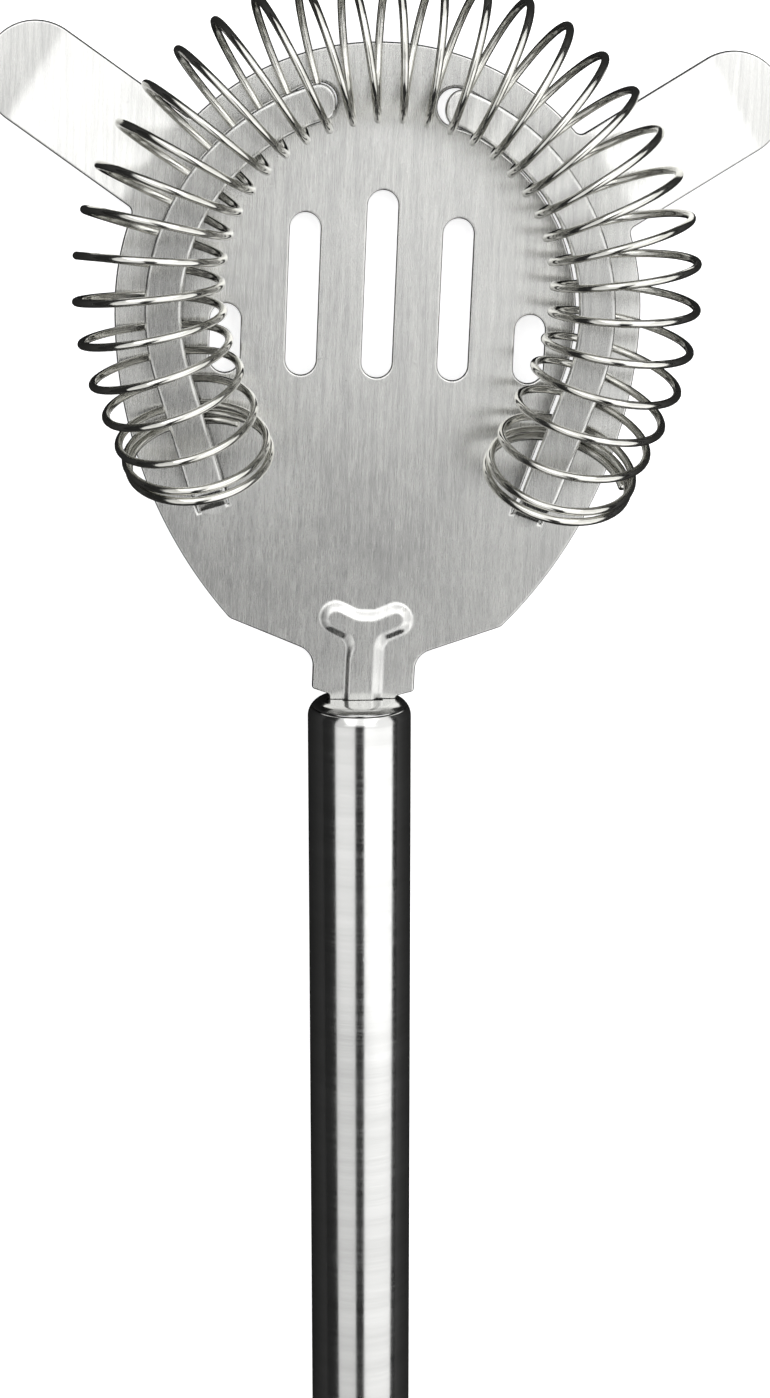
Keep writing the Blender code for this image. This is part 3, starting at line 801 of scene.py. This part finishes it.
def stamped(plan, height):
    """Points of the blank and heights in the sheet, to the finished stamping."""
    plan = plan.copy()
    rise = height + rib_lift(plan)
    station, offset = from_blank(plan)
    lifted = on_tongue(plan)
    spread = TONGUE_SPREAD * smooth_step((station - SPREAD_FROM) / SPREAD_OVER) * offset
    to_side = np.column_stack([np.where(plan[:, 0] < 0, -1.0, 1.0), np.ones(len(plan))])
    outward = (on_blank(station, 1.0) - on_blank(station, 0.0)) * to_side
    plan += outward * np.where(lifted, spread, 0)[:, None]
    lift, angle = (np.interp(station, TONGUE_TABLES[0], column) for column in TONGUE_TABLES[1:])
    above = height - SHEET / 2
    forward = on_blank(station + FORWARD_STEP, 0) - on_blank(station, 0)
    forward = unit(forward) * to_side
    shift = np.where(lifted, -np.sin(angle) * above, 0)
    plan += forward * shift[:, None]
    rise = np.where(lifted, lift + SHEET / 2 + np.cos(angle) * above, rise)
    for side in (1, -1):
        direction = ear_along * [side, 1]
        distance = plan @ direction
        beyond = distance > EAR_ROOT_FOLD_AT - EAR_FOLD_WIDTH
        run, folded = bent(EAR_LINE, distance, rise)
        plan += direction * np.where(beyond, run - distance, 0)[:, None]
        rise = np.where(beyond, folded, rise)
    below = -plan[:, 1] > NECK_FOLD_AT - NECK_FOLD_WIDTH
    run, folded = bent(NECK_LINE, -plan[:, 1], rise)
    plan[:, 1] = np.where(below, -run, plan[:, 1])
    rise = np.where(below, folded, rise)
    return np.column_stack([plan, rise])


# %% [markdown]
# ## Edges and faces of the stamping
#
# A punched edge isn't a sharp corner: the die drags the sheet down as it cuts, so the side that it enters
# has a rolled edge and the other side a crisp one. A small profile is carried round each loop for that
# edge. The two faces between the edges are filled with triangles on a lattice that is finer where the
# sheet bends.

# %% Rolled edges
OUTLINE_ROLL = (0.30, 0.62)
SLOT_ROLL = (0.28, 0.28)
TONGUE_ROLL = (0.45, 0.45)
CRISP = 0.10
RIM = 0.10
ROLL_POINTS = 7
LEAST_SHARE = 0.5

rolls = [OUTLINE_ROLL] + [SLOT_ROLL] * len(SLOT_TOPS) + [TONGUE_ROLL] * 2


def edge_profile(roll):
    """Pairs of (inset, height) from the front face over the rolled edge, down the wall and under. A roll is
    a quarter of an ellipse, given by its width and its depth."""
    width, depth = roll
    turn = np.linspace(0, math.pi / 2, ROLL_POINTS)
    rolled = np.stack([width * (1 - np.sin(turn)), SHEET - depth * (1 - np.cos(turn))], axis=1)
    crisp = np.stack([CRISP * (1 - np.cos(turn[::2])), CRISP * (1 - np.sin(turn[::2]))], axis=1)
    rim = width + RIM
    return np.concatenate([[[rim, SHEET]], rolled, crisp, [[rim, 0.0]]])


def inward(loop):
    """Directions into the material, left of the way that the loop runs, longer where the loop turns."""
    onward = unit(np.roll(loop, -1, axis=0) - loop)
    left = np.stack([-onward[:, 1], onward[:, 0]], axis=1)
    mean = unit(left + np.roll(left, 1, axis=0))
    return mean / np.maximum(np.sum(mean * left, axis=1, keepdims=True), LEAST_SHARE)


def edge_grid(loop, roll):
    """The profile carried round a loop, as blank points, heights and faces."""
    profile = edge_profile(roll)
    plan = loop[:, None] + inward(loop)[:, None] * profile[None, :, :1]
    height = np.broadcast_to(profile[None, :, 1], plan.shape[:2])
    rows, columns = plan.shape[:2]
    faces = grid_faces(rows, columns, closed_rows=True).reshape(rows, columns, 4)[:, :-1].reshape(-1, 4)
    return plan.reshape(-1, 2), height.ravel(), faces


# %% [markdown]
# ## Points on the faces
#
# A flat stretch needs few points and a bend needs many. So the faces get lattices of several steps: points
# that fall in a hole, or too near to points that are already there, are left out.

# %% Lattices for the faces
CHUNK = 1500
COARSE_AREA = ((-62, -88), (62, 48))
COARSE_STEP = 1.1
RIB_AREA = ((-9, -72), (9, -43))
RIB_STEP = 0.26
TONGUE_STEP = 0.4
TONGUE_ROWS = np.linspace(-1.4, 1.4, 6)
FOLD_REACH = 2.2
FOLD_ACROSS = (-8.6, 7.0)
FOLD_STEP = 0.55
LAYER_SPACINGS = (0.2, 0.3, 0.3, 0.4, 0.4, 0.75)
NET_TOLERANCE = 1e-5


def lattice(low, high, step):
    """Points of a square grid between two corners."""
    x = np.arange(low[0], high[0], step)
    y = np.arange(low[1], high[1], step)
    return np.stack(np.meshgrid(x, y), axis=-1).reshape(-1, 2)


def inside(points, rims):
    """True where a line to the right crosses the loops an odd number of times."""
    start = np.concatenate(rims)
    end = np.concatenate([np.roll(rim, -1, axis=0) for rim in rims])
    odd = np.zeros(len(points), bool)
    for part in np.array_split(np.arange(len(points)), max(1, len(points) // CHUNK)):
        x, y = points[part, 0][:, None], points[part, 1][:, None]
        spans = (start[:, 1] > y) != (end[:, 1] > y)
        rise = np.where(end[:, 1] == start[:, 1], 1.0, end[:, 1] - start[:, 1])
        crossing = start[:, 0] + (y - start[:, 1]) / rise * (end[:, 0] - start[:, 0])
        odd[part] = np.sum(spans & (x < crossing), axis=1) % 2 == 1
    return odd


def clear_of(points, others, distance):
    """True where no other point is closer than the distance."""
    clear = np.ones(len(points), bool)
    for part in np.array_split(np.arange(len(points)), max(1, len(points) // CHUNK)):
        apart = points[part][:, None] - others[None]
        clear[part] = np.min(np.sum(apart * apart, axis=2), axis=1) > distance ** 2
    return clear


def face_points(rims):
    """Fine lattices at the rib, the ramps and the ear folds, and a coarse one over the rest."""
    rib = lattice(*RIB_AREA, RIB_STEP)
    station, offset = np.meshgrid(np.arange(TONGUE_STEP / 2, TONGUE_LENGTH, TONGUE_STEP), TONGUE_ROWS)
    right = on_blank(station.ravel(), offset.ravel())
    folds = []
    for at in (EAR_ROOT_FOLD_AT, EAR_TIP_FOLD_AT):
        strip = lattice((at - FOLD_REACH, FOLD_ACROSS[0]), (at + FOLD_REACH, FOLD_ACROSS[1]), FOLD_STEP)
        folds.append(strip[:, :1] * ear_along + strip[:, 1:] * ear_across)
    folds = np.concatenate(folds)
    mirror = np.array([-1, 1])
    layers = [rib, right, right * mirror, folds, folds * mirror, lattice(*COARSE_AREA, COARSE_STEP)]
    chosen = np.concatenate(rims)
    for layer, spacing in zip(layers, LAYER_SPACINGS):
        layer = layer[clear_of(layer, chosen, spacing)]
        chosen = np.concatenate([chosen, layer[inside(layer, rims)]])
    return chosen


def face_triangles(rims):
    """Triangles between the loops: a Delaunay net that keeps the loops as edges, without the holes."""
    points = face_points(rims)
    counts = [len(rim) for rim in rims]
    firsts = np.cumsum([0] + counts[:-1])
    edges = [
        np.stack([first + np.arange(count), first + (np.arange(count) + 1) % count], axis=1)
        for first, count in zip(firsts, counts)
    ]
    kept = np.concatenate(edges).tolist()
    net = geometry.delaunay_2d_cdt([Vector(p) for p in points], kept, [], 0, NET_TOLERANCE)
    points = np.array([tuple(p) for p in net[0]])
    triangles = np.array(net[2])
    return points, triangles[inside(points[triangles].mean(axis=1), rims)]


def stamping():
    """Both faces and all edges, on the blank first and then through the press."""
    rims = [loop + inward(loop) * (roll[0] + RIM) for loop, roll in zip(loops, rolls)]
    plan, triangles = face_triangles(rims)
    plans = [plan, plan]
    heights = [np.full(len(plan), SHEET), np.zeros(len(plan))]
    faces = [triangles, triangles[:, ::-1] + len(plan)]
    first = 2 * len(plan)
    for loop, roll in zip(loops, rolls):
        edge_plan, edge_height, edge_faces = edge_grid(loop, roll)
        plans.append(edge_plan)
        heights.append(edge_height)
        faces.append(edge_faces + first)
        first += len(edge_plan)
    return stamped(np.concatenate(plans), np.concatenate(heights)), faces


def lay_brush_map(mesh):
    """A flat map of the plan, so that a shader can tell along the brush from across it."""
    points = np.empty(3 * len(mesh.vertices))
    corners = np.empty(len(mesh.loops), int)
    mesh.vertices.foreach_get("co", points)
    mesh.loops.foreach_get("vertex_index", corners)
    plan = points.reshape(-1, 3)[corners, :2] / (MM * 2 * DISC_RADIUS)
    mesh.uv_layers.new(name=BRUSH_MAP).data.foreach_set("uv", plan.ravel())


plate_points, plate_faces = stamping()
plate_mesh = mesh_from("stamped_plate", on_table(plate_points), plate_faces)
lay_brush_map(plate_mesh)
add_piece("stamped_plate", plate_mesh, plate_steel, "frame", "strainer_plate")

# %% [markdown]
# ## The handle
#
# The handle is turned round one axis: a cap with a rounded shoulder, a long tube and a domed end. The axis
# is read from the solid tube, so it leans as the solid does. A profile of radius and distance is carried
# round it. Where two pieces meet, both edges are broken a little, which leaves the fine line seen on the
# real one.

# %% The handle's axis
def node_points(node):
    """The corners of a solid, in metres."""
    vertices = frame["nodes"][node].data.vertices
    points = np.empty(3 * len(vertices))
    vertices.foreach_get("co", points)
    return points.reshape(-1, 3)


tube_points = node_points("handle_tube")
tube_middle = tube_points.mean(axis=0)
handle_axis = np.linalg.svd(tube_points - tube_middle, full_matrices=False)[2][0]
handle_axis *= -np.sign(handle_axis[1])
handle_side = unit(np.cross(handle_axis, [0, 0, 1]))
handle_up = np.cross(handle_side, handle_axis)


def span_on_axis(node):
    """First and last distance of a solid along the handle's axis, in millimetres from the tube's middle."""
    along = (node_points(node) - tube_middle) @ handle_axis / MM
    return along.min(), along.max()


def turned(profile, sides):
    """Points of (radius, distance) carried round the handle's axis."""
    angle = np.linspace(0, 2 * np.pi, sides, endpoint=False)
    round_axis = np.outer(np.cos(angle), handle_side) + np.outer(np.sin(angle), handle_up)
    points = profile[:, None, :1] * round_axis[None] + profile[:, None, 1:] * handle_axis
    return tube_middle + MM * points.reshape(-1, 3), grid_faces(len(profile), sides, closed_rows=True)


print("handle runs along", handle_axis.round(4))

# %% [markdown]
# ## Three turned profiles
#
# The shoulder is a pressed cap, the tube is drawn and the end is a plug. Each is half a cross section, run
# from the axis round the outside and back.

# %% Cap, tube and end
HANDLE_RADIUS = 8.0
HANDLE_WALL = 0.8
FIT_GAP = 0.3
CAP_LIFT = 0.7
CAP_FLAT_RADIUS = 5.3
SEAM_DEPTH = 0.6
SEAM_BREAK = 0.1
DOME_LENGTH = 4.0
TURNED_SIDES = 128
FRONT_STEPS = 8
SHOULDER_STEPS = 14
BREAK_STEPS = 4
DOME_STEPS = 24
SHARP_EDGE = math.radians(35)


def ellipse_arc(centre, radius_out, radius_along, start, end, steps):
    """Part of an ellipse in (radius, distance)."""
    turn = np.linspace(start, end, steps + 1)
    return np.array(centre) + np.stack([radius_out * np.cos(turn), radius_along * np.sin(turn)], axis=1)


def broken_edge(distance, start, end):
    """The small rounding of an outer edge."""
    centre = (HANDLE_RADIUS - SEAM_BREAK, distance)
    return ellipse_arc(centre, SEAM_BREAK, SEAM_BREAK, start, end, BREAK_STEPS)


cap_start = span_on_axis("handle_front_cap")[0] - CAP_LIFT
shoulder = HANDLE_RADIUS - CAP_FLAT_RADIUS
seam_turn = -math.acos((shoulder - SEAM_DEPTH) / shoulder)
spigot_radius = HANDLE_RADIUS - HANDLE_WALL - FIT_GAP


def tube_profile():
    """A tube whose front edge rounds over towards the cap."""
    end = span_on_axis("handle_tube")[1]
    bore = HANDLE_RADIUS - HANDLE_WALL
    centre = (CAP_FLAT_RADIUS, cap_start + shoulder)
    front = ellipse_arc(centre, shoulder, shoulder, seam_turn, 0, FRONT_STEPS)
    start = front[0, 1] + SEAM_BREAK
    return np.concatenate([
        [[bore, start + SEAM_BREAK], [front[0, 0] - SEAM_BREAK, start]],
        front[1:],
        broken_edge(end - SEAM_BREAK, 0, math.pi / 2),
        [[bore, end]],
    ])


def cap_profile():
    """A flat front, a round shoulder up to the seam, and a spigot inside the tube."""
    end = span_on_axis("handle_front_cap")[1]
    round_over = ellipse_arc(
        (CAP_FLAT_RADIUS, cap_start + shoulder), shoulder, shoulder, -math.pi / 2, seam_turn, SHOULDER_STEPS
    )
    rim = round_over[-1, 1]
    return np.concatenate([
        [[0, cap_start]],
        round_over[:-1],
        [[round_over[-1, 0] - SEAM_BREAK, rim], [spigot_radius, rim], [spigot_radius, end], [0, end]],
    ])


def end_profile():
    """A spigot inside the tube and a dome that closes it."""
    start, end = span_on_axis("handle_end_cap")
    rim = end - DOME_LENGTH
    return np.concatenate([
        [[0, start], [spigot_radius, start], [spigot_radius, rim]],
        broken_edge(rim + SEAM_BREAK, -math.pi / 2, 0),
        ellipse_arc(
            (0, rim + SEAM_BREAK), HANDLE_RADIUS, DOME_LENGTH - SEAM_BREAK, 0, math.pi / 2, DOME_STEPS
        )[1:],
    ])


def turned_mesh(name, profile):
    """A profile carried round the axis, with its sharp edges marked."""
    points, faces = turned(profile, TURNED_SIDES)
    mesh = mesh_from(name, points, [faces])
    mesh.set_sharp_from_angle(angle=SHARP_EDGE)
    return mesh


# %% [markdown]
# ## The slot for the tang
#
# The tang goes through a slot in the cap, with a little room all round. A slot in a round shoulder is
# awkward to draw as a grid, so two boxes are taken away from the cap instead.

# %% Cut the slot
SLOT_OVERRUN = 3.0


def block(name, low, high):
    """A box between two corners in metres, as an object that isn't in any picture."""
    bm = bmesh.new()
    bmesh.ops.create_cube(bm, size=1.0)
    mesh = bpy.data.meshes.new(name)
    bm.to_mesh(mesh)
    bm.free()
    size = Vector(high) - Vector(low)
    mesh.transform(Matrix.Translation((Vector(low) + Vector(high)) / 2) @ Matrix.Diagonal((*size, 1.0)))
    return bpy.data.objects.new(name, mesh)


def cut_tang_slot(mesh):
    """Takes the tang and its rib, with the fit gap all round, out of the cap."""
    tang_points = on_table(stamped(np.array([[0.0, TANG_END]]), np.array([SHEET / 2])))[0]
    front = tang_points[1] + MM * (SHOULDER_INNER - TANG_END + SLOT_OVERRUN)
    gap = FIT_GAP * MM
    half_sheet = SHEET / 2 * MM
    whole = bpy.data.objects.new("cap_before_cut", mesh)
    bpy.context.scene.collection.objects.link(whole)
    cutters = []
    for name, half_width, top in (
        ("tang_cutter", TANG_HALF_WIDTH, half_sheet),
        ("rib_cutter", RIB_STEM_HALF_WIDTH, half_sheet + RIB_HEIGHT * MM),
    ):
        side = half_width * MM + gap
        cutter = block(
            name, (-side, tang_points[1] - gap, tang_points[2] - half_sheet - gap),
            (side, front, tang_points[2] + top + gap),
        )
        bpy.context.scene.collection.objects.link(cutter)
        cut = whole.modifiers.new(name, "BOOLEAN")
        cut.operation = "DIFFERENCE"
        cut.solver = "EXACT"
        cut.object = cutter
        cutters.append(cutter)
    graph = bpy.context.evaluated_depsgraph_get()
    result = bpy.data.meshes.new_from_object(whole.evaluated_get(graph))
    result.name = mesh.name
    for obj in (whole, *cutters):
        bpy.data.objects.remove(obj)
    result.set_sharp_from_angle(angle=SHARP_EDGE)
    return result


cap_mesh = cut_tang_slot(turned_mesh("handle_shoulder", cap_profile()))
for name, mesh, node in (
    ("tube_handle", turned_mesh("tube_handle", tube_profile()), "handle_tube"),
    ("handle_dome", turned_mesh("handle_dome", end_profile()), "handle_end_cap"),
    ("handle_shoulder", cap_mesh, "handle_front_cap"),
):
    add_piece(name, mesh, handle_steel, "frame", node)

# %% [markdown]
# ## Table, lights and camera
#
# The strainer lies on a white table under soft boxes: a bright one on the right, a weaker one on the left
# and a broad one beyond the top. Polished steel only shows what is round it, so the gaps between the boxes
# and a painted dark reflection from a sheet on the table give it its dark streaks.

# %% White table
TABLE_HALF = 3.0
TABLE_HEIGHT = -0.0001
TABLE_PAINT = 0.85
TABLE_ROUGHNESS = 0.9
TABLE_GLOW = 0.75


def white_table_material():
    """Pale paint that the camera and reflections see as white, and that still shows a soft shadow."""
    material = bpy.data.materials.new("white_table")
    material.use_nodes = True
    tree = material.node_tree
    shader = tree.nodes["Principled BSDF"]
    shader.inputs["Roughness"].default_value = TABLE_ROUGHNESS
    shader.inputs["Base Color"].default_value = (TABLE_PAINT, TABLE_PAINT, TABLE_PAINT, 1.0)
    shader.inputs["Emission Color"].default_value = (1.0, 1.0, 1.0, 1.0)
    rays = add_node(tree, "ShaderNodeLightPath")
    seen = add_node(
        tree, "ShaderNodeMath", operation="MAXIMUM",
        links={0: rays.outputs["Is Camera Ray"], 1: rays.outputs["Is Glossy Ray"]},
    )
    seen = add_node(
        tree, "ShaderNodeMath", operation="MAXIMUM",
        links={0: seen.outputs[0], 1: rays.outputs["Is Transmission Ray"]},
    )
    glow = add_node(
        tree, "ShaderNodeMath", operation="MULTIPLY", values={1: TABLE_GLOW}, links={0: seen.outputs[0]},
    )
    tree.links.new(glow.outputs[0], shader.inputs["Emission Strength"])
    return material


def flat_sheet(name, half, height, material):
    """A level square that belongs to the stage and not to the strainer."""
    corners = np.array([[-1, -1], [1, -1], [1, 1], [-1, 1]]) * half
    mesh = bpy.data.meshes.new(name)
    mesh.from_pydata(np.column_stack([corners, np.full(4, height)]).tolist(), [], [[0, 1, 2, 3]])
    mesh.materials.append(material)
    obj = bpy.data.objects.new(name, mesh)
    bpy.context.scene.collection.objects.link(obj)
    return obj


flat_sheet("table", TABLE_HALF, TABLE_HEIGHT, white_table_material())

# %% [markdown]
# ## Painted dark reflections
#
# A dark sheet lies over the table and is seen in reflections alone. It paints dark reflections: the camera
# sees the white table, while the polished steel shows black where the table would be, which gives it contrast.

# %% Sheet for painted dark reflections
REFLECTION_SHEET_HALF = 2.9
REFLECTION_SHEET_HEIGHT = 0.00005
REFLECTION_SHEET_TONE = 0.01


def dark_reflection_sheet_material():
    """Dull, nearly black material of the sheet that paints dark reflections."""
    material = bpy.data.materials.new("dark_reflection_sheet")
    material.use_nodes = True
    shader = material.node_tree.nodes["Principled BSDF"]
    shader.inputs["Base Color"].default_value = (REFLECTION_SHEET_TONE, REFLECTION_SHEET_TONE, REFLECTION_SHEET_TONE, 1.0)
    shader.inputs["Roughness"].default_value = 1.0
    return material


reflection_sheet = flat_sheet("dark_reflection_sheet", REFLECTION_SHEET_HALF, REFLECTION_SHEET_HEIGHT, dark_reflection_sheet_material())
# Hidden from the camera, from diffuse light and from shadows, the sheet only paints dark reflections into the
# steel.
reflection_sheet.visible_camera = False
reflection_sheet.visible_diffuse = False
reflection_sheet.visible_shadow = False

# %% [markdown]
# ## Soft boxes
#
# A long lamp stands on each side, and a short one before it makes the handle brighter near the plate. The
# broad box beyond the top lights the ears, and a dim one overhead lifts the plate round its slots.

# %% Soft boxes
RIGHT_ANGLES = (9, 76)
RIGHT_BRIGHTNESS = 1.6
LEFT_ANGLES = (-56, -11)
LEFT_BRIGHTNESS = 1.1
STRIP_PARTS = (
    {"part": "whole", "distance": 0.9, "share": 0.8, "middle_y": 0.0, "length": 2.2},
    {"part": "handle", "distance": 0.88, "share": 0.25, "middle_y": -0.315, "length": 0.27},
)
WORLD_TONE = 0.025


def soft_box(name, middle, tilt, width, length, brightness):
    """A flat lamp at a place in metres, tilted about X and Y. Its brightness is what a mirror would show."""
    lamp = bpy.data.lights.new(name, "AREA")
    lamp.shape = "RECTANGLE"
    lamp.size = width
    lamp.size_y = length
    lamp.energy = brightness * math.pi * width * length
    obj = bpy.data.objects.new(name, lamp)
    bpy.context.scene.collection.objects.link(obj)
    obj.location = middle
    obj.rotation_euler = (*tilt, 0.0)
    obj.visible_camera = False


def side_strip(side, angles, brightness, part, distance, share, middle_y, length):
    """A long lamp beside the strainer that fills the angles between two limits, measured from straight up."""
    inner, outer = (math.radians(angle) for angle in angles)
    middle = (inner + outer) / 2
    place = (distance * math.sin(middle), middle_y, distance * math.cos(middle))
    width = 2 * distance * math.tan(abs(outer - inner) / 2)
    soft_box(side + "_strip_" + part, place, (0.0, middle), width, length, brightness * share)


for strip in STRIP_PARTS:
    side_strip("right", RIGHT_ANGLES, RIGHT_BRIGHTNESS, **strip)
    side_strip("left", LEFT_ANGLES, LEFT_BRIGHTNESS, **strip)
soft_box("top_box", (0.0, 0.70, 0.74), (math.radians(-43), 0.0), width=1.3, length=1.4, brightness=1.3)
soft_box("slot_glow", (0.0, 0.065, 0.9), (math.radians(-4.1), 0.0), width=1.26, length=0.17, brightness=0.45)

world = bpy.data.worlds.new("studio")
world.use_nodes = True
background = world.node_tree.nodes["Background"]
background.inputs["Color"].default_value = (WORLD_TONE, WORLD_TONE, WORLD_TONE, 1.0)
bpy.context.scene.world = world
print("lamps:", [lamp.name for lamp in bpy.data.lights])

# %% [markdown]
# ## Camera
#
# The place and the lens were worked out from where the slots, the disc, the ears and the handle lie in the
# photograph. Near things look larger from so close, so the place matters as much as the lens.

# %% Camera
EYE = np.array([-22.637, 35.41, 427.674])
LOOK_TILT = math.radians(-12.5)
LOOK_TURN = math.radians(3.5)
LOOK_ROLL = math.radians(-2.5)
FOCAL_PIXELS = 2835.0
IMAGE_HEIGHT = 1398
SENSOR = 36.0
CLIP_START = 0.01


def photo_camera():
    """The camera looks down on the sheet, tilted towards the handle, turned to the right and rolled."""
    look = np.array([
        math.sin(LOOK_TURN) * math.cos(LOOK_TILT),
        math.sin(LOOK_TILT),
        -math.cos(LOOK_TILT) * math.cos(LOOK_TURN),
    ])
    look = unit(look)
    level = unit(np.cross([0, 1, 0], -look))
    upright = np.cross(-look, level)
    right = math.cos(LOOK_ROLL) * level - math.sin(LOOK_ROLL) * upright
    up = np.cross(-look, right)
    data = bpy.data.cameras.new("photo_camera")
    data.sensor_width = SENSOR
    data.lens = FOCAL_PIXELS * SENSOR / IMAGE_HEIGHT
    data.clip_start = CLIP_START
    camera = bpy.data.objects.new("photo_camera", data)
    bpy.context.scene.collection.objects.link(camera)
    axes = np.stack([right, up, -look]) @ sheet_axes
    turn = Matrix(axes.T.tolist()).to_4x4()
    camera.matrix_world = Matrix.Translation(Vector(on_table(EYE))) @ turn
    bpy.context.scene.camera = camera


photo_camera()
print("camera at", on_table(EYE).round(4), "looks through", bpy.context.scene.camera.name)
bpy.context.scene.view_settings.view_transform = "Standard"
